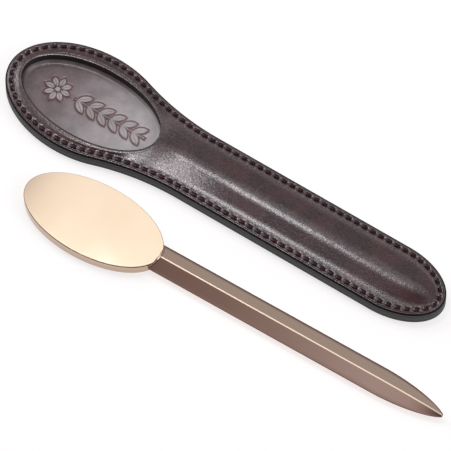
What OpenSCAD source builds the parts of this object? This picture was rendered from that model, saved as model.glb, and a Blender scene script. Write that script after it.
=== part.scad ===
// Letter opener with its fitted leather sheath, lying side by side on a table.
// The sheath lies along X with its oval head end at -X and its closed tip at +X.
// The opener lies beside it on the -Y side, pointing the same way. Z = 0 is the table.
// The opener's blade slides into the sheath's channel through the mouth in the end wall of
// the oval recess, and its head then drops into the recess.

/* [Sheath outline] */
// Half-length of the oval head end
head_rx = 37.7; // [37:0.1:42]
// Half-width of the oval head end
head_ry = 24.8; // [23:0.2:27]
// How far the outline's oval sits behind the centre of the recess
head_back = 2.4; // [1:0.1:4]
// Half-width of the parallel body
body_hw = 15.7; // [15:0.1:17]
// Radius of the concave neck between the head and the body
neck_r = 122; // [100:1:150]
// Distance from the recess centre to where the body starts to round off
tip_start = 149.4; // [148:0.1:151]
// Length of the rounded tip
tip_len = 26; // [25:0.1:30]

/* [Sheath layers] */
// Thickness of the outer back leather
back_t = 1.3; // [1:0.1:1.6]
// Thickness of the liner that floors the recess and the channel
liner_t = 0.7; // [0.5:0.1:1]
// Thickness of the filler layer between the liner and the cover
welt_t = 2.9; // [2.6:0.1:3.2]
// Thickness of the moulded top cover
cover_t = 1.4; // [1.2:0.1:1.8]
// Height of the domed channel above the cover's flat margin
dome_rise = 2.4; // [2:0.1:3]
// Half-width of the domed channel where it meets the flat margin
dome_hw = 10.2; // [9:0.1:11]
// Distance from the end of the dome to the end of the tip
dome_margin = 4.7; // [4:0.1:6]
// Height of the raised lip around the recess
lip_rise = 0.35; // [0.1:0.05:0.5]
// Width of the raised lip around the recess
lip_w = 2.2; // [1:0.1:3]

/* [Recess and channel] */
// Clearance between the opener's head and the recess, all round
nest_gap = 0.2; // [0.2:0.05:0.6]
// Half-width of the channel in the filler
channel_hw = 9; // [7.5:0.1:9.5]
// Length of the channel's rounded end
channel_end = 21.6; // [21:0.1:23]
// Height of the ornament embossed in the recess floor
emboss_h = 0.3; // [0.1:0.05:0.5]

/* [Stitching] */
// Distance from one stitch to the next
stitch_pitch = 4; // [3.5:0.1:5]
// Length of one stitch on the surface
stitch_len = 2.9; // [2:0.1:3.2]
// Distance of the stitch line from the edge
stitch_inset = 2.5; // [2:0.1:2.8]
// Diameter of the needle thread, which shows on top
needle_d = 0.8; // [0.5:0.1:1]
// Diameter of the bobbin thread, which shows underneath
bobbin_d = 0.5; // [0.3:0.1:0.6]
// Width of the stitch grooves
groove_w = 1.2; // [1:0.1:1.6]
// Depth of the stitch grooves
groove_d = 0.6; // [0.5:0.1:0.8]

/* [Opener] */
// Overall length of the opener
opener_len = 203.2; // [200:0.1:203.5]
// Length of the oval head
handle_len = 66; // [64:0.1:67]
// Width of the oval head
handle_w = 34; // [32:0.1:35]
// Thickness of the head, and of the blade at its root
handle_t = 5.2; // [4.8:0.1:5.3]
// Width of the blade
blade_w = 13; // [11:0.1:13.5]
// Thickness of the blade where its point begins
blade_far_t = 4.3; // [3.5:0.1:4.8]
// Thickness of the blunt edges
edge_t = 0.9; // [0.5:0.1:1.2]
// Width of the flat on each ridge
ridge_w = 0.4; // [0.2:0.1:0.8]
// Length of the point
point_len = 31.3; // [25:0.1:36]
// Length of the tang that is brazed into the head
tang_len = 9; // [6:0.5:12]
// Width of the tang
tang_w = 7; // [5:0.5:9]
// Thickness of the tang
tang_t = 2; // [1.5:0.1:2.5]

/* [Arrangement] */
// How far the opener's head lies ahead of the recess
lay_x = 32.1; // [0:0.1:40]
// How far the opener lies to the side of the sheath
lay_y = 45.5; // [43:0.1:60]
// How far the opener is turned from parallel
lay_turn = 1.1; // [0:0.1:1.9]

/* [Hidden] */

eps = 0.01;
floor_z = back_t + liner_t;
cover_z = floor_z + welt_t;
margin_z = cover_z + cover_t;

recess_rx = handle_len / 2 + nest_gap;
recess_ry = handle_w / 2 + nest_gap;
point_x = opener_len - handle_len / 2;
sheath_tip = tip_start + tip_len;
sheath_back = head_back + head_rx;

// The dome is a cylinder along X that ends in a sphere of the same radius.
dome_r = (dome_hw * dome_hw + dome_rise * dome_rise) / (2 * dome_rise);
dome_z = margin_z + dome_rise - dome_r;
dome_end = sheath_tip - dome_margin - dome_hw;
mouth_x = recess_rx - 6;

// The origin is under the centre of the box round both pieces.
box_lo = [-sheath_back,
          -lay_y - norm([handle_len / 2 * sin(lay_turn), handle_w / 2 * cos(lay_turn)])];
box_hi = [lay_x + point_x * cos(lay_turn), head_ry];
centre = (box_lo + box_hi) / 2;

// ---- outline of the sheath ----

// The neck is an arc that touches the oval and the straight side. neck_lean is its lean
// where the oval's parameter is t, and neck_gap is zero where both touch.
function neck_lean(t) = atan(head_ry / head_rx / tan(t));
function neck_gap(t) = head_ry * sin(t) - body_hw - neck_r * (1 - cos(neck_lean(t)));
function neck_solve(lo, hi, n) =
    let (mid = (lo + hi) / 2)
    n == 0 ? mid : neck_gap(mid) > 0 ? neck_solve(lo, mid, n - 1) : neck_solve(mid, hi, n - 1);

neck_t = neck_solve(20, 90, 24);
neck_a = neck_lean(neck_t);
neck_x = head_rx * cos(neck_t) - head_back + neck_r * sin(neck_a);

// A point on an oval, moved in by inset along the oval's normal.
function oval_in(rx, ry, t, inset) =
    let (n = [cos(t) / rx, sin(t) / ry])
    [rx * cos(t), ry * sin(t)] - inset * n / norm(n);

head_steps = 30;
neck_steps = 8;
tip_steps = 14;

// The +Y half of the outline, from the head end to the tip.
function half_outline(inset) = concat(
    [for (i = [0:head_steps])
        oval_in(head_rx, head_ry, 180 - (180 - neck_t) * i / head_steps, inset)
            - [head_back, 0]],
    [for (i = [1:neck_steps]) let (a = neck_a * (1 - i / neck_steps))
        [neck_x - (neck_r + inset) * sin(a),
         body_hw + neck_r - (neck_r + inset) * cos(a)]],
    [for (i = [0:tip_steps])
        oval_in(tip_len, body_hw, 90 - 90 * i / tip_steps, inset) + [tip_start, 0]]);

function both_halves(half) =
    concat(half, [for (i = [len(half) - 2:-1:1]) [half[i].x, -half[i].y]]);

module outline(inset = 0) polygon(both_halves(half_outline(inset)));

oval_steps = 72;
module oval(rx, ry)
    polygon([for (i = [0:oval_steps - 1]) let (a = i * 360 / oval_steps)
        [rx * cos(a), ry * sin(a)]]);

module layer(z, t) translate([0, 0, z]) linear_extrude(t) children();

// ---- stitch line ----

stitch_line = both_halves(half_outline(stitch_inset));
line_n = len(stitch_line);
function line_pt(i) = stitch_line[i % line_n];
function run_lengths(i = 0, sum = 0) =
    i > line_n ? [] : concat([sum], run_lengths(i + 1, sum + norm(line_pt(i + 1) - line_pt(i))));

line_run = run_lengths();
stitch_n = round(line_run[line_n] / stitch_pitch);

// Segment of the line that holds the distance s, found by halving.
function segment(s, lo, hi) =
    hi - lo <= 1 ? lo :
    let (mid = floor((lo + hi) / 2)) line_run[mid] > s ? segment(s, lo, mid) : segment(s, mid, hi);

// Children are set along the line, turned to follow it.
module along_stitch_line()
    for (k = [0:stitch_n - 1]) {
        s = (k + 0.5) * line_run[line_n] / stitch_n;
        i = segment(s, 0, line_n);
        d = line_pt(i + 1) - line_pt(i);
        p = line_pt(i) + d * (s - line_run[i]) / norm(d);
        translate([p.x, p.y, 0]) rotate([0, 0, atan2(d.y, d.x)]) children();
    }

module stitches(d, z) {
    $fn = 16;
    along_stitch_line()
        translate([-stitch_len / 2, 0, z]) rotate([0, 90, 0]) cylinder(d = d, h = stitch_len);
}

module groove(z)
    layer(z, groove_d + eps)
        difference() {
            outline(stitch_inset - groove_w / 2);
            outline(stitch_inset + groove_w / 2);
        }

// ---- sheath ----

module in_frame() translate([-centre.x, -centre.y, 0]) children();

module back_panel()
    color("#3a2226") in_frame()
    difference() {
        layer(0, back_t) outline();
        groove(-eps);
    }

// A pointed leaf, the overlap of two circles, from the origin along X.
module leaf(long, wide) {
    r = (long * long + wide * wide) / (4 * wide);
    intersection() {
        translate([long / 2, r - wide / 2]) circle(r, $fn = 96);
        translate([long / 2, wide / 2 - r]) circle(r, $fn = 96);
    }
}

petals = 8;
rosette_x = -17;
sprig_x = -8;
sprig_len = 35;
leaf_pairs = 6;
leaf_step = 5.6;

module ornament() {
    translate([rosette_x, 0]) {
        circle(1.2, $fn = 32);
        for (i = [0:petals - 1]) rotate(i * 360 / petals) translate([1.5, 0]) leaf(4.6, 2.5);
    }
    translate([sprig_x, -0.3]) square([sprig_len, 0.6]);
    for (i = [0:leaf_pairs - 1], side = [-1, 1])
        translate([sprig_x + 1 + i * leaf_step, 0.25 * side]) rotate(38 * side) leaf(6.6, 2.9);
}

module liner()
    color("#8d7b82") in_frame() {
        layer(back_t, liner_t) outline();
        layer(floor_z - eps, emboss_h + eps) ornament();
    }

// Plan of the channel: straight sides and a half-oval end.
module channel_plan()
    polygon(both_halves(concat(
        [[0, 0], [0, channel_hw]],
        [for (i = [0:tip_steps]) let (a = 90 - 90 * i / tip_steps)
            [tip_start + channel_end * cos(a), channel_hw * sin(a)]])));

module welt()
    color("#1d1c1f") in_frame()
    difference() {
        layer(floor_z, welt_t) outline();
        layer(floor_z - 1, welt_t + 2) oval(recess_rx, recess_ry);
        layer(floor_z - 1, welt_t + 2) channel_plan();
    }

// A rod along X with a ball end, for the dome and, smaller by the cover, for its hollow.
module dome_rod(r) {
    translate([mouth_x, 0, dome_z]) rotate([0, 90, 0])
        cylinder(r = r, h = dome_end - mouth_x, $fn = 180);
    translate([dome_end, 0, dome_z]) sphere(r, $fn = 180);
}

module dome_part(r, z)
    intersection() {
        dome_rod(r);
        translate([mouth_x, -body_hw, z]) cube([sheath_tip - mouth_x, 2 * body_hw, dome_r]);
    }

module top_cover()
    color("#4a2a30") in_frame()
    difference() {
        union() {
            layer(cover_z, cover_t) outline();
            layer(cover_z, cover_t + lip_rise) oval(recess_rx + lip_w, recess_ry + lip_w);
            dome_part(dome_r, cover_z + eps);
        }
        dome_part(dome_r - cover_t, cover_z - 1);
        layer(cover_z - 1, cover_t + dome_rise + 2) oval(recess_rx, recess_ry);
        groove(margin_z - groove_d);
    }

module needle_thread()
    color("#241417") in_frame() stitches(needle_d, margin_z - groove_d + needle_d / 2);

module bobbin_thread()
    color("#241417") in_frame() stitches(bobbin_d, groove_d - bobbin_d / 2);

// ---- opener ----

module laid() in_frame() translate([lay_x, -lay_y, 0]) rotate([0, 0, lay_turn]) children();

module tang(grow = 0)
    translate([handle_len / 2 - tang_len, -tang_w / 2, (handle_t - tang_t) / 2])
        cube([tang_len + grow, tang_w, tang_t]);

module opener_head()
    color("#d9b48f") laid()
    difference() {
        layer(0, handle_t) oval(handle_len / 2, handle_w / 2);
        tang(5);
    }

point_start = point_x - point_len;
root_x = handle_len / 2 - 4;

// Share of the full width left at u, from 0 where the point begins to 1 at its end.
function taper(u) = pow(1 - u * u, 0.7);

// One section of the blade: a lozenge with blunt edges and narrow flats on its ridges.
function section(x, hw, ht, he) =
    let (r = min(ridge_w / 2, hw / 2))
    [for (p = [[-r, ht], [-hw, he], [-hw, -he], [-r, -ht], [r, -ht], [hw, -he], [hw, he], [r, ht]])
        [x, p.x, handle_t / 2 + p.y]];

point_steps = 14;
tip_share = 0.98;
function point_section(u) =
    let (k = taper(u * tip_share), he = edge_t / 2 * (0.6 + 0.4 * k))
    section(point_start + point_len * u, blade_w / 2 * k,
            he + (blade_far_t / 2 - edge_t / 2) * k, he);

blade_sections = concat(
    [section(root_x, blade_w / 2, handle_t / 2, edge_t / 2)],
    [for (i = [0:point_steps]) point_section(sin(90 * i / point_steps))]);

// Skin over a list of sections that all have the same number of points.
module loft(rings) {
    n = len(rings[0]);
    m = len(rings);
    polyhedron(
        points = [for (r = rings) for (p = r) p],
        faces = concat(
            [[for (j = [0:n - 1]) j]],
            [for (i = [0:m - 2]) for (j = [0:n - 1]) let (k = (j + 1) % n)
                each [[i * n + j, (i + 1) * n + j, (i + 1) * n + k],
                      [i * n + j, (i + 1) * n + k, i * n + k]]],
            [[for (j = [n - 1:-1:0]) (m - 1) * n + j]]),
        convexity = 4);
}

module opener_blade()
    color("#a98c78") laid() {
        difference() {
            loft(blade_sections);
            layer(-1, handle_t + 2) oval(handle_len / 2, handle_w / 2);
        }
        tang(0.5);
    }

back_panel();
liner();
welt();
top_cover();
needle_thread();
bobbin_thread();
opener_head();
opener_blade();
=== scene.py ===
"""Letter opener beside its fitted leather sheath: the looks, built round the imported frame.

Shapes are worked out in millimetres, in the sheath's own frame (origin under the centre of
the recess, +X towards the tip) or in the opener's (origin under the centre of its head), and
are placed in the row's frame, in metres, when their mesh is made.
"""

import math

import bmesh
import bpy
import numpy as np
from mathutils import Matrix, Vector
from mathutils.geometry import delaunay_2d_cdt


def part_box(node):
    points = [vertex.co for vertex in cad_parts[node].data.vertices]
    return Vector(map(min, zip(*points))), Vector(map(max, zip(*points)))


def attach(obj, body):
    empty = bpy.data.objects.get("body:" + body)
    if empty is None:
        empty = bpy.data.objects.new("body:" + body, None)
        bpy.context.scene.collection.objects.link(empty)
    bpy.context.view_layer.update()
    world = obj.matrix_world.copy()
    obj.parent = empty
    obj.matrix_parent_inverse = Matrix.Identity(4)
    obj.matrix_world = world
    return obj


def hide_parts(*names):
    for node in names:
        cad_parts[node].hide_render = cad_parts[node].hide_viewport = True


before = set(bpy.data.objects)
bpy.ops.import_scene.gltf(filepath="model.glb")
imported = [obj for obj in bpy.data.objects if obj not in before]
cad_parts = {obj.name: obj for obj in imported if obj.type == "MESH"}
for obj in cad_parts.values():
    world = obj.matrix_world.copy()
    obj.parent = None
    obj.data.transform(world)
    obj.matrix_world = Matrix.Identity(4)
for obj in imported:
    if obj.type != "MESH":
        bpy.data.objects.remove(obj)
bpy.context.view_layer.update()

MM = 0.001

# ---- driving dimensions, in millimetres, as in the CAD source ----

HEAD_RX, HEAD_RY, HEAD_BACK = 37.7, 24.8, 2.4
BODY_HW, NECK_R = 15.7, 122.0
TIP_START, TIP_LEN = 149.4, 26.0
RECESS_RX, RECESS_RY = 33.2, 17.2
CHANNEL_HW, CHANNEL_END = 9.0, 21.6
HANDLE_RX, HANDLE_RY, HANDLE_T = 33.0, 17.0, 5.2
BLADE_HW, POINT_START, POINT_LEN = 6.5, 138.9, 31.3
BLADE_FAR_HT, EDGE_HT, RIDGE_HW = 2.15, 0.45, 0.28
LAY_TURN = math.radians(1.1)

STITCH_INSET, STITCH_LEN, STITCH_N = 2.5, 2.7, 114
COLUMNS_PER_STITCH = 8
COLUMNS = STITCH_N * COLUMNS_PER_STITCH


def frame_z(node):
    """Lowest and highest z of a CAD node, in millimetres."""
    lo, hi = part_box(node)
    return lo.z / MM, hi.z / MM


COVER_Z, CREST_Z = frame_z("top_cover")
FLOOR_Z = frame_z("welt")[0]
BACK_Z = frame_z("back_panel")[1]
MARGIN_Z = 6.3
DOME_RISE = CREST_Z - MARGIN_Z
COVER_T = MARGIN_Z - COVER_Z

cover_lo, cover_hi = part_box("top_cover")
SHEATH_AT = Matrix.Translation(
    (cover_lo.x + (HEAD_BACK + HEAD_RX) * MM, (cover_lo.y + cover_hi.y) / 2, 0)
)
head_lo, head_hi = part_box("opener_head")
OPENER_AT = Matrix.Translation(
    ((head_lo.x + head_hi.x) / 2, (head_lo.y + head_hi.y) / 2, 0)
) @ Matrix.Rotation(LAY_TURN, 4, "Z")


# ---- camera ----

CAMERA_TURN = math.radians(33.48)
CAMERA_RISE = math.radians(60.39)
CAMERA_DISTANCE = 2.404
CAMERA_LENS = 460.0
AIM = Vector((-0.00310, 0.00365, 0.0))


def make_camera():
    back = Vector(
        (
            math.sin(CAMERA_TURN) * math.cos(CAMERA_RISE),
            -math.cos(CAMERA_TURN) * math.cos(CAMERA_RISE),
            math.sin(CAMERA_RISE),
        )
    )
    data = bpy.data.cameras.new("camera")
    data.lens = CAMERA_LENS
    data.clip_start, data.clip_end = 0.05, 20
    camera = bpy.data.objects.new("camera", data)
    camera.location = AIM + back * CAMERA_DISTANCE
    camera.rotation_mode = "QUATERNION"
    camera.rotation_quaternion = (-back).to_track_quat("-Z", "Y")
    bpy.context.scene.collection.objects.link(camera)
    bpy.context.scene.camera = camera


make_camera()


# ---- node materials ----


class Nodes:
    """Short names for building one node tree. place is what its patterns are laid out by."""

    def __init__(self, owner, place):
        owner.use_nodes = True
        self.nodes, self.links = owner.node_tree.nodes, owner.node_tree.links
        self.place = self.nodes.new("ShaderNodeTexCoord").outputs[place]

    def put(self, socket, value):
        """Links an output into an input, or sets its value."""
        if isinstance(value, bpy.types.NodeSocket):
            self.links.new(value, socket)
        else:
            socket.default_value = value

    def add(self, kind, inputs, **settings):
        node = self.nodes.new(kind)
        for key, value in settings.items():
            setattr(node, key, value)
        for key, value in inputs.items():
            self.put(node.inputs[key], value)
        return node

    def noise(self, size_mm, detail=2.0, roughness=0.5, place=None):
        inputs = {
            "Vector": place or self.place,
            "Scale": 1 / (size_mm * MM),
            "Detail": detail,
            "Roughness": roughness,
        }
        return self.add("ShaderNodeTexNoise", inputs).outputs["Fac"]

    def cells(self, size_mm):
        """0 in the middle of each cell of leather grain, rising to its seams."""
        inputs = {"Vector": self.place, "Scale": 1 / (size_mm * MM), "Smoothness": 0.4}
        node = self.add("ShaderNodeTexVoronoi", inputs, feature="SMOOTH_F1")
        return node.outputs["Distance"]

    def stretched(self, factors):
        """The place, with its axes scaled, for patterns that are drawn out one way."""
        inputs = {"Vector": self.place, "Scale": factors}
        return self.add("ShaderNodeMapping", inputs).outputs["Vector"]

    def math(self, operation, a, b):
        return self.add("ShaderNodeMath", {0: a, 1: b}, operation=operation).outputs["Value"]

    def span(self, value, low, high, to_low=0.0, to_high=1.0):
        """Takes low..high to to_low..to_high, with a smooth step between them."""
        inputs = {
            "Value": value,
            "From Min": low,
            "From Max": high,
            "To Min": to_low,
            "To Max": to_high,
        }
        node = self.add("ShaderNodeMapRange", inputs, interpolation_type="SMOOTHSTEP")
        return node.outputs["Result"]

    def mix(self, share, a, b):
        """Colour a, turning into b as the share goes from 0 to 1."""
        node = self.nodes.new("ShaderNodeMix")
        node.data_type = "RGBA"
        self.put(node.inputs["Factor"], share)
        self.put(node.inputs["A"], a)
        self.put(node.inputs["B"], b)
        return node.outputs["Result"]

    def attribute(self, name):
        return self.add("ShaderNodeAttribute", {}, attribute_name=name).outputs["Fac"]

    def bump(self, height, depth_mm, strength=1.0, normal=None):
        inputs = {"Height": height, "Distance": depth_mm * MM, "Strength": strength}
        if normal is not None:
            inputs["Normal"] = normal
        return self.add("ShaderNodeBump", inputs).outputs["Normal"]


class Shader(Nodes):
    """One node material."""

    def __init__(self, name):
        self.material = bpy.data.materials.new(name)
        super().__init__(self.material, "Object")
        self.main = self.nodes["Principled BSDF"]

    def set(self, **inputs):
        for key, value in inputs.items():
            self.put(self.main.inputs[key.replace("_", " ")], value)


def rgb(r, g, b):
    return (r, g, b, 1.0)


def cover_leather():
    s = Shader("cover_leather")
    mottle = s.noise(9, 3)
    pores = s.noise(0.35, 3)
    base = s.mix(s.span(mottle, 0.35, 0.65), rgb(0.036, 0.018, 0.022), rgb(0.064, 0.027, 0.033))
    base = s.mix(s.span(pores, 0.5, 0.75, 0, 0.35), base, rgb(0.022, 0.011, 0.013))
    normal = s.bump(s.noise(0.9, 3, 0.6), 0.07, 0.5, s.bump(s.cells(0.6), 0.03, 0.4))
    grain = s.noise(0.8, 3, 0.7)
    s.set(
        Base_Color=base,
        Roughness=s.span(pores, 0.3, 0.7, 0.25, 0.31),
        Specular_IOR_Level=s.span(grain, 0.38, 0.62, 0.4, 0.8),
        Normal=normal,
        Coat_Weight=s.span(grain, 0.38, 0.62, 0.45, 1.0),
        Coat_Roughness=0.21,
        Coat_Normal=normal,
    )
    return s.material


def liner_leather():
    s = Shader("liner_leather")
    mottle = s.noise(7, 4, 0.6)
    # The pale grey mixed in by the painted_sheen layer is a painted sheen: it stands in for the
    # lights' glossy reflection on the recess floor and for light over the far wall's shade.
    sheen_share = s.math("MULTIPLY", s.attribute("painted_sheen"), s.span(mottle, 0.35, 0.65, 0.86, 1.1))
    dull = s.mix(s.span(mottle, 0.35, 0.65), rgb(0.098, 0.062, 0.067), rgb(0.165, 0.116, 0.128))
    base = s.mix(sheen_share, dull, rgb(0.52, 0.51, 0.53))
    # The outline layer darkens the pressed lines and midribs: a darker pressed groove with painted
    # shade along the embossing's edges.
    base = s.mix(s.attribute("outline"), base, rgb(0.105, 0.016, 0.022))
    normal = s.bump(s.cells(0.5), 0.02, 0.4)
    s.set(Base_Color=base, Roughness=0.38, Normal=normal, Coat_Weight=0.5, Coat_Roughness=0.25)
    return s.material


def edge_leather():
    s = Shader("edge_leather")
    fibres = s.noise(0.5, 3, place=s.stretched((1, 1, 5)))
    base = s.mix(fibres, rgb(0.034, 0.034, 0.038), rgb(0.050, 0.050, 0.055))
    normal = s.bump(fibres, 0.01, 0.2)
    s.set(Base_Color=base, Roughness=0.55, Specular_IOR_Level=0.25, Normal=normal)
    return s.material


def edge_ink():
    """The black dye on the corners of the cut edges; on the recess lip its band also stands in for
    painted shade in the gap above the floor.
    """
    s = Shader("edge_ink")
    s.set(Base_Color=rgb(0.006, 0.006, 0.007), Roughness=0.6, Specular_IOR_Level=0.15)
    return s.material


def back_leather():
    s = Shader("back_leather")
    pores = s.noise(0.5, 3)
    base = s.mix(pores, rgb(0.030, 0.016, 0.018), rgb(0.052, 0.030, 0.032))
    s.set(Base_Color=base, Roughness=0.5, Normal=s.bump(s.cells(0.6), 0.04, 0.5))
    return s.material


def waxed_thread():
    s = Shader("thread")
    fibres = s.noise(0.12, 2)
    base = s.mix(fibres, rgb(0.022, 0.013, 0.015), rgb(0.056, 0.034, 0.038))
    s.set(Base_Color=base, Roughness=0.7, Specular_IOR_Level=0.2, Normal=s.bump(fibres, 0.02, 0.5))
    return s.material


def head_metal():
    s = Shader("head_metal")
    haze = s.noise(14, 3)
    scratch = s.noise(0.3, 2, place=s.stretched((0.15, 1, 1)))
    base = s.mix(haze, rgb(0.93, 0.73, 0.54), rgb(0.95, 0.78, 0.60))
    # The edge layer paints a dark reflection on the arris and the side wall.
    base = s.mix(s.attribute("edge"), base, rgb(0.08, 0.012, 0.020))
    rough = s.span(haze, 0.3, 0.7, 0.09, 0.11)
    s.set(Base_Color=base, Metallic=1.0, Roughness=rough, Normal=s.bump(scratch, 0.002, 0.3))
    return s.material


def blade_metal():
    s = Shader("blade_metal")
    haze = s.noise(10, 3)
    scratch = s.noise(0.3, 2, place=s.stretched((0.1, 1, 1)))
    base = s.mix(haze, rgb(0.86, 0.66, 0.54), rgb(0.90, 0.72, 0.60))
    # The edge layer paints shade and dark reflections along both edges, on the near side of the
    # point and at the root fillet.
    base = s.mix(s.attribute("edge"), base, rgb(0.20, 0.09, 0.08))
    s.set(Base_Color=base, Metallic=1.0, Roughness=0.15, Normal=s.bump(scratch, 0.002, 0.3))
    return s.material


COVER, LINER, BACK = cover_leather(), liner_leather(), back_leather()
EDGE, INK, THREAD = edge_leather(), edge_ink(), waxed_thread()
HEAD_METAL, BLADE_METAL = head_metal(), blade_metal()


# ---- mesh building ----


class Skin:
    """Points, in millimetres, and faces of one closed mesh."""

    def __init__(self):
        self.points, self.faces, self.slots = [], [], []

    def add(self, xyz):
        """Adds points and gives their numbers."""
        xyz = np.asarray(xyz, float).reshape(-1, 3)
        start = len(self.points)
        self.points.extend(xyz.tolist())
        return np.arange(start, start + len(xyz))

    def strip(self, a, b, slot=0):
        """Quads between two open rows of the same length."""
        for i in range(len(a) - 1):
            self.face([a[i], a[i + 1], b[i + 1], b[i]], slot)

    def band(self, a, b, slot=0):
        """Quads between two closed rings of the same length."""
        self.strip(np.append(a, a[0]), np.append(b, b[0]), slot)

    def fan(self, row, tip, slot=0):
        for i in range(len(row) - 1):
            self.face([row[i], row[i + 1], tip], slot)

    def face(self, corners, slot=0):
        self.faces.append([int(c) for c in corners])
        self.slots.append(slot)

    def build(self, name, at, materials, layers=None, sharp=None):
        """Makes the object. at places it in the row's frame; layers are named point values;
        edges that bend by more than sharp degrees stay crisp."""
        mesh = bpy.data.meshes.new(name)
        mesh.from_pydata([tuple(c * MM for c in p) for p in self.points], [], self.faces)
        for material in materials:
            mesh.materials.append(material)
        mesh.polygons.foreach_set("material_index", self.slots)
        mesh.polygons.foreach_set("use_smooth", [True] * len(self.faces))
        for layer, values in (layers or {}).items():
            mesh.attributes.new(layer, "FLOAT", "POINT").data.foreach_set("value", values)
        shape = bmesh.new()
        shape.from_mesh(mesh)
        bmesh.ops.recalc_face_normals(shape, faces=shape.faces)
        open_edges = sum(1 for e in shape.edges if not e.is_manifold)
        if open_edges:
            print(f"{name}: {open_edges} open edges")
        if sharp is not None:
            for edge in shape.edges:
                edge.smooth = edge.calc_face_angle(0) < math.radians(sharp)
        shape.to_mesh(mesh)
        shape.free()
        mesh.transform(at)
        piece = bpy.data.objects.new(name, mesh)
        bpy.context.scene.collection.objects.link(piece)
        return piece


def hold(piece, body, node):
    """The piece rides on a body and stands for a CAD node, whose part is hidden."""
    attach(piece, body)
    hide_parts(node)
    return piece


def smooth(value, low, high):
    """0 below low, 1 above high, and a smooth step between them."""
    t = np.clip((np.asarray(value, float) - low) / (high - low), 0, 1)
    return t * t * (3 - 2 * t)


def bell(value, centre, width):
    """A bump of height 1, width to each side of the centre."""
    return np.exp(-(((value - centre) / width) ** 2))


def even_steps(line, count, values=None):
    """Points of a dense line, or other values along it, at count even steps."""
    values = line if values is None else values
    run = np.append(0, np.cumsum(np.linalg.norm(np.diff(line, axis=0), axis=1)))
    want = np.linspace(0, run[-1], count)
    return np.stack([np.interp(want, run, values[:, k]) for k in (0, 1)], -1)


def mirror(half):
    """A whole ring from its +Y half, whose two ends lie on the axis."""
    return np.concatenate([half, half[-2:0:-1] * [1, -1]])


# ---- outline of the sheath ----


def oval_point(rx, ry, t):
    """Points on an oval and their outward normals."""
    point = np.stack([rx * np.cos(t), ry * np.sin(t)], -1)
    normal = np.stack([np.cos(t) / rx, np.sin(t) / ry], -1)
    return point, normal / np.linalg.norm(normal, axis=-1, keepdims=True)


def neck_angle(t):
    """Lean of the concave neck where it touches the head's oval at t."""
    return math.atan(HEAD_RY / HEAD_RX / math.tan(t))


def solve_neck():
    """The oval's parameter where the neck touches both the oval and the straight side."""
    lo, hi = math.radians(20), math.radians(90)
    for _ in range(40):
        mid = (lo + hi) / 2
        gap = HEAD_RY * math.sin(mid) - BODY_HW - NECK_R * (1 - math.cos(neck_angle(mid)))
        lo, hi = (lo, mid) if gap > 0 else (mid, hi)
    return (lo + hi) / 2


def half_outline():
    """Edge points and outward normals of the +Y half, dense, from the head end to the tip."""
    steps = 1500
    neck_t = solve_neck()
    lean = neck_angle(neck_t)
    neck_x = HEAD_RX * math.cos(neck_t) - HEAD_BACK + NECK_R * math.sin(lean)
    head, head_n = oval_point(HEAD_RX, HEAD_RY, np.linspace(math.pi, neck_t, steps))
    head = head - [HEAD_BACK, 0]
    a = np.linspace(lean, 0, steps)[1:]
    neck_n = np.stack([np.sin(a), np.cos(a)], -1)
    neck = [neck_x, BODY_HW + NECK_R] - NECK_R * neck_n
    x = np.linspace(neck_x, TIP_START, steps)[1:-1]
    side = np.stack([x, np.full_like(x, BODY_HW)], -1)
    side_n = np.tile([0.0, 1.0], (len(x), 1))
    tip, tip_n = oval_point(TIP_LEN, BODY_HW, np.linspace(math.pi / 2, 0, steps))
    tip = tip + [TIP_START, 0]
    return np.concatenate([head, neck, side, tip]), np.concatenate([head_n, neck_n, side_n, tip_n])


def even_columns():
    """Edge points and normals at even steps along the stitch line, all the way round."""
    edge, normal = half_outline()
    line = edge - STITCH_INSET * normal
    edge, normal = [even_steps(line, HALF_COLUMNS + 1, values) for values in (edge, normal)]
    return mirror(edge), mirror(normal / np.linalg.norm(normal, axis=1, keepdims=True))


HALF_COLUMNS = COLUMNS // 2
EDGE_XY, EDGE_N = even_columns()
EDGE_HALF = half_outline()[0]
PHASE = (np.arange(COLUMNS) / COLUMNS_PER_STITCH) % 1.0 - 0.5


def inset_xy(inset):
    return EDGE_XY - inset * EDGE_N


def half_width(x):
    """Half-width of the sheath at x, up to where the tip begins."""
    first = np.argmax(EDGE_HALF[:, 1])
    return np.interp(x, EDGE_HALF[first:, 0], EDGE_HALF[first:, 1])


def to_recess(x, y):
    """Distance outward from the recess wall, close to the wall; negative inside."""
    x = np.where(np.abs(x) < 1e-6, 1e-6, x)
    rho = np.sqrt((x / RECESS_RX) ** 2 + (y / RECESS_RY) ** 2)
    slope = np.sqrt((x / RECESS_RX**2) ** 2 + (y / RECESS_RY**2) ** 2) / rho
    return (rho - 1) / slope


# ---- shape of the top cover ----

FOOT_INSET = 3.6
CREST_R = 13.5
RING_RISE, RING_REACH = 0.75, 6.0
ROLL_WIDTH, ROLL_R = 2.0, 3.3
LIP_WIDTH, LIP_R = 1.1, 2.2
DOME_FROM, DOME_MID, DOME_FULL, DOME_END = 22.0, 47.0, 78.0, 11.0
DOME_AT_MID = 0.72
CAVITY_FROM, CAVITY_FULL, COVER_THIN = 24.0, 32.0, 0.8
# LIP_INK_AND_SHADE: black dye on the lip's cut edge, also serving as painted shade in the gap
# between the lip and the floor.
RIM_INK, LIP_INK_AND_SHADE = 0.65, 0.25
CORNER_DROP, CREASE_INSET, CREASE_DEPTH = 0.15, 1.0, 0.12
PULL_DEPTH, PIT_DEPTH, PIT_HW, PIT_LONG, PUFF_RISE = 0.16, 0.42, 1.1, 0.40, 0.22


def ramp(v, width, rise):
    """Height at v from the foot of a flank that has a rounded foot and a rounded crest."""
    radius = np.minimum(CREST_R, 0.9 * width**2 / (4 * np.maximum(rise, 0.01)))
    m = (width - np.sqrt(width**2 - 4 * radius * rise)) / (2 * radius)
    v = np.clip(v, 0, width)
    foot = v**2 / (2 * radius)
    flank = radius * m**2 / 2 + m * (v - radius * m)
    crest = rise - (width - v) ** 2 / (2 * radius)
    return np.where(v < radius * m, foot, np.where(v < width - radius * m, flank, crest))


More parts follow.
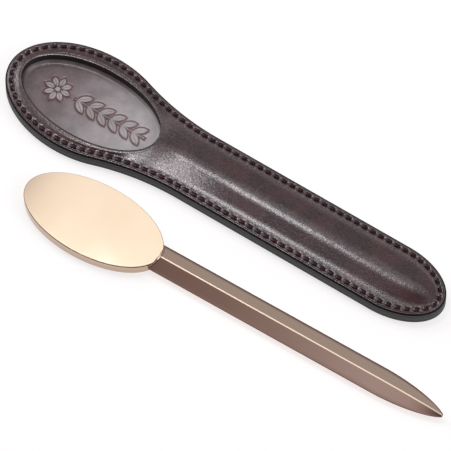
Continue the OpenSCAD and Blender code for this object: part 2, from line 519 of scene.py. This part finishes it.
def dome_height(x, y):
    """Height of the domed channel above the flat margin."""
    along = np.clip((x - TIP_START) / (TIP_LEN - FOOT_INSET), 0, 0.999)
    width = (half_width(np.minimum(x, TIP_START)) - FOOT_INSET) * np.sqrt(1 - along**2)
    to_end = np.clip((TIP_START + TIP_LEN - FOOT_INSET - x) / DOME_END, 0, 1)
    fade = DOME_AT_MID * smooth(x, DOME_FROM, DOME_MID)
    fade = fade + (1 - DOME_AT_MID) * smooth(x, DOME_MID, DOME_FULL)
    fade = fade * (1 - (1 - to_end) ** 2.2)
    return ramp(width - np.abs(y), width, DOME_RISE * fade)


def ring_height(inner, outer):
    """Height of the raised ring: inner is the distance to the recess, outer to the foot."""
    share = np.clip(1 - inner / np.clip(inner + outer, 1e-6, RING_REACH), 0, 1)
    return RING_RISE * (0.75 * share + 0.25 * smooth(share, 0, 1))


def raised(x, y, inset):
    """Dome and ring together, smoothly joined."""
    outer = inset - FOOT_INSET
    inner = np.maximum(to_recess(x, y), 0)
    a, b = dome_height(x, y), ring_height(inner, outer)
    return 0.5 * (a + b + np.sqrt((a - b) ** 2 + 0.04)) - 0.1


def rim_height(inset, phase):
    """Margin outside the foot: it rolls down to the edge, with a tooled line, and it is
    pulled in where a stitch lies and puffed up between stitches. phase is 0 at a stitch."""
    out = np.maximum(ROLL_WIDTH - inset, 0)
    roll = ROLL_R - np.sqrt(ROLL_R**2 - out**2)
    corner = CORNER_DROP * bell(inset, 0, 0.08)
    crease = CREASE_DEPTH * bell(inset, CREASE_INSET, 0.2)
    pull = PULL_DEPTH * bell(inset, STITCH_INSET + 0.1, 0.9)
    across = np.abs(inset - STITCH_INSET - 0.1) / PIT_HW
    along = np.abs(phase) / PIT_LONG
    pit = PIT_DEPTH * smooth(1 - (across**2 + along**4), 0.0, 0.8)
    puff = PUFF_RISE * smooth(np.abs(phase), 0.28, 0.5) * bell(inset, STITCH_INSET + 0.6, 0.9)
    return puff - roll - corner - crease - pull - pit


def cover_top(xy, inset, phase):
    """Upper side: the margin, dome and ring, with the lip rounded down into the recess."""
    x, y = xy[:, 0], xy[:, 1]
    inside = LIP_WIDTH - np.clip(to_recess(x, y), 0, LIP_WIDTH)
    lip = LIP_R - np.sqrt(LIP_R**2 - inside**2)
    rise = raised(x, y, np.maximum(inset, FOOT_INSET))
    return MARGIN_Z + rise + rim_height(inset, phase) - lip


def cover_under(xy, inset):
    """Underside: flat on the filler, and hollow under the dome and over the mouth."""
    x, y = xy[:, 0], xy[:, 1]
    width = BODY_HW - FOOT_INSET
    along = np.maximum(x - TIP_START, 0) / (TIP_LEN - FOOT_INSET - COVER_T)
    reach = width - np.hypot(along * width, y)
    rise = ramp(reach, np.full_like(x, width), DOME_RISE)
    top = MARGIN_Z + raised(x, y, np.maximum(inset, FOOT_INSET))
    rise = rise * smooth(x, CAVITY_FROM, CAVITY_FULL)
    rise = rise * smooth(inset, FOOT_INSET, FOOT_INSET + 2)
    return np.minimum(COVER_Z + rise, top - COVER_THIN)


# The rim's rings follow the edge, the lip's rings follow the recess, spokes join them round
# the head, and rows cross the body from side to side.
RIM_INSETS = [0, 0.04, 0.12, 0.25, 0.4, RIM_INK, 0.75, 0.87, 1.0, 1.15, 1.3, 1.45, 1.65, 1.85, 2.05,
              2.25, 2.45, 2.65, 2.85, 3.05, 3.25, 3.45, 3.65, 3.9, 4.2]
LIP_OFFSETS = [1.6, 1.4, 1.2, 1.0, 0.8, 0.6, 0.4, LIP_INK_AND_SHADE, 0.1, 0]
INK_SLOT = 2
SPOKES_TO_X = 36.0 + STITCH_INSET
SPOKES = int(np.argmax(EDGE_XY[:HALF_COLUMNS, 0] > SPOKES_TO_X))


def recess_columns(offset):
    """Points round the recess, offset outward, one for each spoke and all the way round."""
    wall, normal = oval_point(RECESS_RX, RECESS_RY, np.linspace(math.pi, 0, 2001))
    return mirror(even_steps(wall, SPOKES + 1, wall + offset * normal))


def cover_sheet(skin, insets, offsets, steps, height, slot, inks=(-1, -1)):
    """One face of the cover, in one slot but for the INK slot within inks of its outer and
    recess edges. Gives the outer ring's and the recess ring's point numbers."""

    def put(xy, inset, phase):
        return skin.add(np.column_stack([xy, height(xy, inset, phase)]))

    rims = [put(inset_xy(d), np.full(COLUMNS, d), PHASE) for d in insets]
    for d, (a, b) in zip(insets[1:], zip(rims, rims[1:])):
        skin.band(a, b, INK_SLOT if d <= inks[0] else slot)
    rim_xy, deep = inset_xy(insets[-1]), insets[-1]
    lip_xy = [recess_columns(o) for o in offsets]
    lips = []
    for xy, o in zip(lip_xy, offsets):
        lips.append(put(xy, np.full(len(xy), deep + 3.0), np.zeros(len(xy))))
    for o, (a, b) in zip(offsets, zip(lips, lips[1:])):
        skin.band(a, b, INK_SLOT if o <= inks[1] else slot)

    share = np.linspace(0, 1, steps + 1)[1:-1]

    def spoke(column, k):
        a, b = rim_xy[column % COLUMNS], lip_xy[0][k % len(lip_xy[0])]
        xy = a + share[:, None] * (b - a)
        inset = deep + share * np.linalg.norm(b - a)
        inner = put(xy, inset, np.zeros(len(xy)))
        return np.concatenate([[rims[-1][column % COLUMNS]], inner, [lips[0][k % len(lip_xy[0])]]])

    north = [spoke(k, k) for k in range(SPOKES + 1)]
    south = [spoke(COLUMNS - k, 2 * SPOKES - k) for k in range(1, SPOKES + 1)]
    for a, b in zip(north, north[1:]):
        skin.strip(a, b, slot)
    for a, b in zip([north[0]] + south, south):
        skin.strip(b, a, slot)

    row = np.concatenate([north[-1], south[-1][-2::-1]])
    across = np.linspace(1, -1, 2 * steps + 1)[1:-1]
    pull = rim_xy[SPOKES][0] - lip_xy[0][SPOKES][0]
    for column in range(SPOKES + 1, HALF_COLUMNS):
        x, y = rim_xy[column]
        late = pull * math.exp(-(x - rim_xy[SPOKES][0]) / 8)
        xy = np.stack([x - late * (1 - np.abs(across)), y * across], -1)
        inset = deep + (1 - np.abs(across)) * min(y, BODY_HW)
        inner = put(xy, inset, np.zeros(len(xy)))
        new = np.concatenate([[rims[-1][column]], inner, [rims[-1][COLUMNS - column]]])
        skin.strip(row, new, slot)
        row = new
    skin.fan(row, rims[-1][HALF_COLUMNS], slot)
    return rims[0], lips[-1]


def make_top_cover():
    skin = Skin()
    inks = RIM_INK, LIP_INK_AND_SHADE
    outer, lip = cover_sheet(skin, RIM_INSETS, LIP_OFFSETS, 28, cover_top, 0, inks)
    under = cover_sheet(skin, [0, 2.0, 4.4], [1.6, 0], 12,
                        lambda xy, inset, phase: cover_under(xy, inset), 1)
    skin.band(outer, under[0], 1)
    skin.band(lip, under[1], 1)
    piece = skin.build("moulded_cover", SHEATH_AT, [COVER, EDGE, INK])
    return hold(piece, "sheath", "top_cover")


# ---- filler layer between the liner and the cover ----

MOUTH_X = RECESS_RX * math.sqrt(1 - (CHANNEL_HW / RECESS_RY) ** 2)


def filler_opening():
    """The recess and the channel as one ring, one point for each column of the edge."""
    corner_t = math.asin(CHANNEL_HW / RECESS_RY)
    arc = oval_point(RECESS_RX, RECESS_RY, np.linspace(math.pi, corner_t, 800))[0]
    end = oval_point(CHANNEL_END, CHANNEL_HW, np.linspace(math.pi / 2, 0, 400))[0]
    side = np.concatenate([[[MOUTH_X, CHANNEL_HW]], end + [TIP_START, 0]])
    corner = int(np.argmax(EDGE_XY[:HALF_COLUMNS, 0] > MOUTH_X))
    around, along = even_steps(arc, corner + 1), even_steps(side, HALF_COLUMNS - corner + 1)
    return mirror(np.concatenate([around, along[1:]]))


def wall_rings(low, high, soft=0.05):
    """Insets and heights of a layer's side wall, with its two corners just eased."""
    return [(soft, low), (soft * 0.3, low + soft * 0.3), (0, low + soft),
            (0, high - soft), (soft * 0.3, high - soft * 0.3), (soft, high)]


def ring_at(skin, xy, z):
    return skin.add(np.column_stack([xy, np.full(len(xy), z)]))


def make_filler():
    skin = Skin()
    outer = [ring_at(skin, inset_xy(d), z) for d, z in wall_rings(FLOOR_Z, COVER_Z)]
    opening = filler_opening()
    inner = [ring_at(skin, opening, z) for z in (COVER_Z, FLOOR_Z)]
    rings = outer + inner
    for a, b in zip(rings, rings[1:] + rings[:1]):
        skin.band(a, b)
    piece = skin.build("filler_layer", SHEATH_AT, [EDGE], sharp=40)
    return hold(piece, "sheath", "welt")


# ---- plates that fill the whole outline ----


def plate_sheet(skin, insets, steps, height, slot=0):
    """A face over the whole outline, without the recess. Gives the outer ring."""

    def put(xy, inset, phase):
        return skin.add(np.column_stack([xy, height(inset, phase)]))

    rims = [put(inset_xy(d), np.full(COLUMNS, d), PHASE) for d in insets]
    for a, b in zip(rims, rims[1:]):
        skin.band(a, b, slot)
    deep = rims[-1]
    xy = inset_xy(insets[-1])
    across = np.linspace(1, -1, steps + 1)[1:-1]
    row = None
    for column in range(1, HALF_COLUMNS):
        x, y = xy[column]
        line = np.stack([np.full_like(across, x), y * across], -1)
        far = np.full(len(line), 99.0)
        inner = put(line, far, np.zeros(len(line)))
        new = np.concatenate([[deep[column]], inner, [deep[COLUMNS - column]]])
        if row is None:
            skin.fan(new, deep[0], slot)
        else:
            skin.strip(row, new, slot)
        row = new
    skin.fan(row, deep[HALF_COLUMNS], slot)
    return rims[0]


def make_back_panel():
    skin = Skin()
    soft, bottom_round = 0.05, 0.35

    def top(inset, phase):
        return np.full_like(inset, BACK_Z)

    def bottom(inset, phase):
        swell = np.cos(2 * np.pi * phase)
        groove = 0.4 * bell(inset, STITCH_INSET, 0.5 + 0.12 * swell)
        near = np.minimum(inset, bottom_round)
        lift = bottom_round - np.sqrt(bottom_round**2 - (bottom_round - near) ** 2)
        return groove + lift

    upper = plate_sheet(skin, [soft, 4.0], 8, top)
    wall = [ring_at(skin, inset_xy(d), z) for d, z in [(soft * 0.3, BACK_Z - soft * 0.3),
                                                       (0, BACK_Z - soft)]]
    insets = [0, 0.05, 0.15, 0.25, 0.35, 1.2] + [1.5 + 0.2 * i for i in range(11)] + [4.2]
    lower = plate_sheet(skin, insets, 8, bottom, 1)
    rings = [upper] + wall + [lower]
    for a, b in zip(rings, rings[1:]):
        skin.band(a, b)
    piece = skin.build("outer_back", SHEATH_AT, [EDGE, BACK])
    return hold(piece, "sheath", "back_panel")


# ---- liner, with the ornament embossed in the recess floor ----

PETALS, ROSETTE_X, PETAL_AT, PETAL_LONG, PETAL_WIDE = 8, -17.0, 1.5, 4.6, 2.5
SPRIG_X, SPRIG_LEN, STEM_HW = -8.0, 35.0, 0.3
LEAF_PAIRS, LEAF_STEP, LEAF_LONG, LEAF_WIDE, LEAF_TURN = 6, 5.6, 6.6, 2.9, math.radians(38)
EMBOSS_H = 0.3


def leaf_field(xy, root, turn, long, wide):
    """Distance to a pointed leaf, negative inside, and distance to its midrib."""
    c, s = math.cos(turn), math.sin(turn)
    x = (xy[:, 0] - root[0]) * c + (xy[:, 1] - root[1]) * s - long / 2
    y = -(xy[:, 0] - root[0]) * s + (xy[:, 1] - root[1]) * c
    r = (long**2 + wide**2) / (4 * wide)
    off = r - wide / 2
    tip = np.hypot(np.abs(x) - long / 2, y)
    sides = np.hypot(x, np.abs(y) + off) - r
    past = (np.abs(x) > long / 2) & (tip > sides)
    rib = np.maximum(np.abs(y), np.abs(x) - long * 0.36)
    return np.where(past, tip, sides), rib


def ornament_leaves():
    """Root, turn, length and width of every leaf and petal."""
    for i in range(PETALS):
        turn = 2 * math.pi * i / PETALS
        root = (ROSETTE_X + PETAL_AT * math.cos(turn), PETAL_AT * math.sin(turn))
        yield root, turn, PETAL_LONG, PETAL_WIDE
    for i in range(LEAF_PAIRS):
        for side in (-1, 1):
            root = (SPRIG_X + 1 + i * LEAF_STEP, 0.25 * side)
            yield root, LEAF_TURN * side, LEAF_LONG, LEAF_WIDE


def ornament_field(xy):
    """Distance to the ornament, negative inside, and distance to the nearest midrib."""
    field = np.hypot(xy[:, 0] - ROSETTE_X, xy[:, 1]) - 1.2
    middle = SPRIG_X + SPRIG_LEN / 2
    stem = np.maximum(np.abs(xy[:, 0] - middle) - SPRIG_LEN / 2, np.abs(xy[:, 1]) - STEM_HW)
    field = np.minimum(field, stem)
    rib = np.full(len(xy), 9.0)
    for leaf in ornament_leaves():
        f, r = leaf_field(xy, *leaf)
        rib = np.where(f < 0.1, np.minimum(rib, r), rib)
        field = np.minimum(field, f)
    return field, rib


FLOOR_CURL, FLOOR_CURL_R = 1.3, 1.0


def liner_top(xy):
    """Floor height, how dark the pressed outline is and how pale the raised faces are. The dark
    outline is a darker pressed line with painted shade along the embossing's edges and midribs, and
    the paleness of the raised faces is a painted highlight.
    """
    field, rib = ornament_field(xy)
    face = smooth(-field, -0.12, 0.22)
    vein = np.clip(1 - rib / 0.25, 0, 1)
    pressed = bell(field, 0.36, 0.36)
    near = np.clip(1 + to_recess(xy[:, 0], xy[:, 1]) / FLOOR_CURL_R, 0, 1)
    z = FLOOR_Z + EMBOSS_H * face - 0.10 * vein - 0.2 * pressed + FLOOR_CURL * near**2
    return z, np.maximum(pressed, 0.5 * vein), face * (1 - vein)


def lattice(step, half_x, half_y):
    """Staggered points over a box round the origin."""
    rows = np.arange(-half_y, half_y, step * math.sqrt(0.75))
    x = np.arange(-half_x, half_x, step)
    return np.concatenate([np.stack([x + (k % 2) * step / 2, np.full_like(x, y)], -1)
                           for k, y in enumerate(rows)])


def floor_points():
    """Points inside the recess floor: fine by the ornament's outlines and midribs, coarser
    elsewhere."""
    fine, coarse = lattice(0.16, RECESS_RX, 7), lattice(0.8, RECESS_RX, RECESS_RY)
    field, rib = ornament_field(fine)
    fine = fine[(np.abs(field - 0.2) < 0.7) | (rib < 0.45)]
    field, rib = ornament_field(coarse)
    coarse = coarse[(np.abs(field - 0.2) > 0.9) & (rib > 0.6)]
    coarse = coarse[to_recess(coarse[:, 0], coarse[:, 1]) < -FLOOR_CURL_R - 0.3]
    return np.concatenate([fine, coarse])


def make_liner():
    skin = Skin()
    soft = 0.05

    def flat(xy, inset, phase):
        return np.full(len(xy), FLOOR_Z)

    outer, hole = cover_sheet(skin, [soft, 4.4], [0.5, 0.02], 8, flat, 0)
    rings = [hole]
    for offset in (-0.08, -0.18, -0.3, -0.45, -0.65, -1.0):
        xy = recess_columns(offset)
        rings.append(skin.add(np.column_stack([xy, liner_top(xy)[0]])))
    for i in hole:
        skin.points[i][2] = FLOOR_Z + FLOOR_CURL
    for a, b in zip(rings, rings[1:]):
        skin.band(a, b)

    border = np.array(skin.points)[rings[-1]][:, :2]
    inside = floor_points()
    z, pressed, raised_face = liner_top(inside)
    inner = skin.add(np.column_stack([inside, z]))
    numbers = np.concatenate([rings[-1], inner])
    n = len(border)
    sites = [Vector(p) for p in np.concatenate([border, inside])]
    loop = [(i, (i + 1) % n) for i in range(n)]
    found = delaunay_2d_cdt(sites, loop, [], 1, 1e-7)
    origin = [group[0] for group in found[3]]
    for corners in found[2]:
        skin.face([numbers[origin[i]] for i in corners])

    wall = [ring_at(skin, inset_xy(d), z) for d, z in wall_rings(BACK_Z, FLOOR_Z, soft)[1:-1]]
    lower = plate_sheet(skin, [soft, 4.4], 8, lambda inset, phase: np.full_like(inset, BACK_Z))
    rings = [lower] + wall + [outer]
    for a, b in zip(rings, rings[1:]):
        skin.band(a, b, 1)
    outline = np.zeros(len(skin.points))
    # Darker pressed line with painted shade along the ornament's outline and midribs.
    outline[inner] = 0.95 * pressed
    x, y = np.array(skin.points)[:, :2].T
    # Painted sheen: pale towards the tip end of the floor where the lights reflect, along the far
    # wall as painted light over the wall's shade, and on the ornament's raised faces as a painted
    # highlight.
    rim = smooth(to_recess(x, y), -2.4, -0.8) * smooth(y, -6, 8)
    painted_sheen = np.maximum(smooth(x, -24, 34), 0.4 * rim)
    painted_sheen[inner] = np.maximum(painted_sheen[inner], 0.7 * raised_face)
    layers = {"outline": outline, "painted_sheen": painted_sheen}
    piece = skin.build("embossed_liner", SHEATH_AT, [LINER, EDGE], layers)
    return hold(piece, "sheath", "liner")


# ---- stitching ----

PLIES, PLY_SIDES, STITCH_RINGS = 2, 8, 15
PLY_OFFSET, PLY_R, PLY_TURN = 0.48, 0.56, 2.4
STITCH_SLANT, STITCH_DIVE = 0.30, 2.8


def add_stitch(skin, at, along, out, z, radius, up):
    """One stitch of twisted plies. up is 1 on the cover and -1 underneath."""
    u = np.linspace(-1, 1, STITCH_RINGS)
    half = STITCH_LEN / 2 + 0.1
    dive = radius * STITCH_DIVE * np.abs(u) ** 3.5
    centre = (at[None, :] + u[:, None] * half * along + (u * STITCH_SLANT)[:, None] * out)
    side = np.array([-along[1], along[0]])
    for ply in range(PLIES):
        turn = u * PLY_TURN + 2 * math.pi * ply / PLIES
        ply_r = radius * PLY_R * (1 - 0.25 * np.abs(u) ** 6)
        offset = radius * PLY_OFFSET
        mid_xy = centre + (np.cos(turn) * offset)[:, None] * side
        mid_z = z - up * dive + np.sin(turn) * offset
        rings = []
        for k in range(STITCH_RINGS):
            a = 2 * np.pi * np.arange(PLY_SIDES) / PLY_SIDES
            xy = mid_xy[k] + (np.cos(a) * ply_r[k])[:, None] * side
            rings.append(skin.add(np.column_stack([xy, mid_z[k] + np.sin(a) * ply_r[k]])))
        for a, b in zip(rings, rings[1:]):
            skin.band(a, b)
        skin.face(rings[0])
        skin.face(rings[-1])


def make_stitches(name, node, z, radius, up):
    """The stitch line on one side, all the way round, as separate stitches."""
    skin = Skin()
    line = inset_xy(STITCH_INSET)
    for k in range(STITCH_N):
        column = k * COLUMNS_PER_STITCH + COLUMNS_PER_STITCH // 2
        along = line[(column + 1) % COLUMNS] - line[column - 1]
        along = along / np.linalg.norm(along)
        add_stitch(skin, line[column], along, EDGE_N[column], z, radius, up)
    piece = skin.build(name, SHEATH_AT, [THREAD])
    return hold(piece, "sheath", node)


# ---- opener ----

HEAD_COLUMNS = 360
# ARRIS_SHADE_DROP is how far down the side wall the painted dark band under the arris reaches.
ARRIS, ARRIS_SHADE_DROP = 0.16, 0.5
CROWN, END_FALL = 0.10, 0.40


def make_opener_head():
    """A flat oval, very slightly crowned by polishing and falling away at its two ends, with
    an eased arris all round."""
    skin = Skin()
    t = np.linspace(0, 2 * np.pi, HEAD_COLUMNS, endpoint=False)
    oval, outward = oval_point(HANDLE_RX, HANDLE_RY, t)

    def top_z(xy):
        return HANDLE_T - END_FALL * (xy[:, 0] / HANDLE_RX) ** 4

    def upper_ring(inset, down):
        xy = oval - inset * outward
        return skin.add(np.column_stack([xy, top_z(xy) - down]))

    def disc(height):
        """Rings from the arris to the middle, ending in a small ring."""
        rings = []
        for share in np.sin(np.linspace(math.pi / 2, 0.02, 34)):
            xy = (oval - ARRIS * outward) * share
            rings.append(skin.add(np.column_stack([xy, height(xy, share)])))
        skin.face(rings[-1])
        return rings

    corner = [(ARRIS * (1 - math.sin(a)), ARRIS * (1 - math.cos(a)))
              for a in np.radians([20, 45, 70, 90])]
    corner += [(0, ARRIS_SHADE_DROP), (0, ARRIS_SHADE_DROP + 0.08)]
    top = disc(lambda xy, share: top_z(xy) + CROWN * (1 - share**2))
    wall = [upper_ring(inset, down) for inset, down in corner]
    wall += [ring_at(skin, oval - inset * outward, down) for inset, down in reversed(corner)]
    bottom = disc(lambda xy, share: np.zeros(HEAD_COLUMNS))
    rings = top[::-1] + wall + bottom
    for a, b in zip(rings, rings[1:]):
        skin.band(a, b)
    # Painted dark reflection: the arris and the top of the side wall are painted dark maroon, the
    # rest of the side wall about half as much, where the polished metal mirrors dark surroundings.
    edge = np.zeros(len(skin.points))
    edge[np.concatenate(wall)] = 0.45
    edge[np.concatenate([top[0], *wall[:5]])] = 1
    piece = skin.build("oval_head", OPENER_AT, [HEAD_METAL], {"edge": edge})
    return hold(piece, "opener", "opener_head")


EDGE_EASE = 0.2
ROOT_FILLET = 0.7
FILLET_GAPS = (-0.35, 0.0, 0.06, 0.15, 0.27, 0.43, 0.59, ROOT_FILLET)
TIP_SHARE = 0.98


def blade_profile(hw, ht, he):
    """Across the blade's upper half: side, then height, from the -Y edge to the +Y edge."""
    ridge = min(RIDGE_HW, hw / 3)
    ease = min(EDGE_EASE, hw / 3)
    slope = (ht - he) / max(hw - ridge, 1e-6)
    inner_h = he + slope * ease
    corner = [(hw, 0.0)]
    for a in np.radians([12, 35, 58, 78]):
        corner.append((hw - ease * (1 - math.cos(a)), inner_h * math.sin(a)))
    corner.append((hw - ease, inner_h))
    flank = [(hw - ease - (hw - ease - ridge) * k, inner_h + (ht - inner_h) * k)
             for k in (0.25, 0.5, 0.75)]
    half = corner + flank + [(ridge, ht)]
    return [(-y, z) for y, z in half] + [(y, z) for y, z in reversed(half)]


def blade_ring(skin, x_of, hw, ht, he, fillet=0.0):
    """A closed section. x_of gives x for each side offset; fillet lifts it to meet the head."""
    upper = blade_profile(hw, ht, he)
    top = HANDLE_T / 2 - 0.02
    points = []
    for y, z in upper:
        points.append((x_of(y), y, min(z + fillet, top)))
    for y, z in upper[-2:0:-1]:
        points.append((x_of(y), y, -min(z + fillet, top)))
    return skin.add(np.array(points) + [0, 0, HANDLE_T / 2])


def head_edge_x(y):
    """Where the head's outline lies at a side offset, on the blade's side."""
    return HANDLE_RX * math.sqrt(1 - (y / HANDLE_RY) ** 2)


def make_opener_blade():
    skin = Skin()
    rings = []
    for gap in FILLET_GAPS:
        near = np.clip(1 - gap / ROOT_FILLET, 0, 1)
        fillet = ROOT_FILLET * (1 - math.sqrt(max(1 - near**2, 0)))
        rings.append(blade_ring(skin, lambda y, g=gap: head_edge_x(y) + g,
                                BLADE_HW, HANDLE_T / 2, EDGE_HT, fillet))
    root_x = HANDLE_RX + ROOT_FILLET
    for share in np.linspace(0, 1, 40)[1:-1]:
        x = root_x + (POINT_START - root_x) * share
        bend = max(1 - (x - root_x) / 12, 0)
        ht = HANDLE_T / 2 + (BLADE_FAR_HT - HANDLE_T / 2) * share
        rings.append(blade_ring(
            skin, lambda y, x=x, b=bend: x + b * (head_edge_x(y) - HANDLE_RX),
            BLADE_HW, ht, EDGE_HT))
    for u in np.sin(np.linspace(0, math.pi / 2, 26)):
        k = (1 - (u * TIP_SHARE) ** 2) ** 0.7
        he = EDGE_HT * (0.6 + 0.4 * k)
        ht = he + (BLADE_FAR_HT - EDGE_HT) * k
        x = POINT_START + POINT_LEN * u
        rings.append(blade_ring(skin, lambda y, x=x: x, BLADE_HW * k, ht, he))
    for a, b in zip(rings, rings[1:]):
        skin.band(a, b)
    skin.face(rings[0])
    skin.face(rings[-1])
    # Painted shade and dark reflection: the fillet rings, the eased edges (wider on the far one)
    # and the near side of the point are darkened.
    edge = np.zeros(len(skin.points))
    for k, ring in enumerate(rings):
        x, y, _ = np.array([skin.points[i] for i in ring]).T
        near = smooth(-y, y.max() - EDGE_EASE - 0.1, y.max() - 0.02)
        far = smooth(y, y.max() - EDGE_EASE - 0.6, y.max() - 0.15)
        point = 0.7 * smooth(x, POINT_START + 16, POINT_START + POINT_LEN) * (y < 0)
        edge[ring] = 0.5 if k < len(FILLET_GAPS) - 1 else np.maximum(np.maximum(near, far), point)
    piece = skin.build("ridged_blade", OPENER_AT, [BLADE_METAL], {"edge": edge}, sharp=12)
    return hold(piece, "opener", "opener_blade")


make_top_cover()
make_filler()
make_back_panel()
make_liner()
make_stitches("needle_stitches", "needle_thread", MARGIN_Z - 0.25, 0.48, 1)
make_stitches("bobbin_stitches", "bobbin_thread", 0.33, 0.26, -1)
make_opener_head()
make_opener_blade()


# ---- stage and light ----


def make_floor():
    """A pale floor, a hair below the bases so that no faces coincide."""
    half, z = 3.0, -0.0002
    corners = [(-half, -half, z), (half, -half, z), (half, half, z), (-half, half, z)]
    s = Shader("floor")
    s.set(Base_Color=rgb(0.45, 0.45, 0.45), Roughness=0.9)
    s.set(Emission_Color=rgb(1, 1, 1), Emission_Strength=0.68)
    mesh = bpy.data.meshes.new("floor")
    mesh.from_pydata([Vector(c) for c in corners], [], [(0, 1, 2, 3)])
    mesh.materials.append(s.material)
    floor = bpy.data.objects.new("floor", mesh)
    bpy.context.scene.collection.objects.link(floor)


def area_light(name, place, size, radiance, colour=(1, 1, 1)):
    """A softbox at a place, of a given radiance, that faces the row's middle. Its sizes are
    along X, as far as it faces that way, and across it."""
    data = bpy.data.lights.new(name, "AREA")
    data.shape = "RECTANGLE"
    data.size, data.size_y = size
    data.energy = radiance * math.pi * size[0] * size[1]
    data.color = colour
    back = Vector(place).normalized()
    side = (Vector((1, 0, 0)) - back * back.x).normalized()
    turn = Matrix((side, back.cross(side), back)).transposed().to_4x4()
    light = bpy.data.objects.new(name, data)
    light.matrix_world = Matrix.Translation(place) @ turn
    bpy.context.scene.collection.objects.link(light)


def make_world():
    """Dim and warm on the camera's side, paler overhead, a little dimmer on the far side, and a
    bright round card with a soft rim, high up, that the flat metal mirrors."""
    world = bpy.data.worlds.new("studio")
    bpy.context.scene.world = world
    s = Nodes(world, "Generated")
    y = s.add("ShaderNodeSeparateXYZ", {0: s.place}).outputs["Y"]
    colour = s.mix(s.span(y, -0.21, -0.06), rgb(0.15, 0.105, 0.095), rgb(0.45, 0.395, 0.41))
    colour = s.mix(s.span(y, 0.3, 0.8), colour, rgb(0.36, 0.345, 0.335))
    centre = Vector((-0.065, 0.42, 0.90)).normalized()
    inputs = {0: s.place, 1: centre}
    near = s.add("ShaderNodeVectorMath", inputs, operation="DOT_PRODUCT").outputs["Value"]
    card = s.span(near, math.cos(math.radians(24)), math.cos(math.radians(11)))
    colour = s.mix(card, colour, rgb(1.05, 1.05, 1.05))
    s.put(s.nodes["Background"].inputs["Color"], colour)


def make_light():
    make_world()
    area_light("key", (-0.18, 0.112, 0.60), (0.12, 0.115), 12.6, (1, 0.965, 1))
    for side in (-1, 1):
        area_light("side_fill", (0.95 * side, 0.1, 0.65), (0.6, 0.6), 3.0)


make_floor()
make_light()
bpy.context.scene.view_settings.view_transform = "Standard"
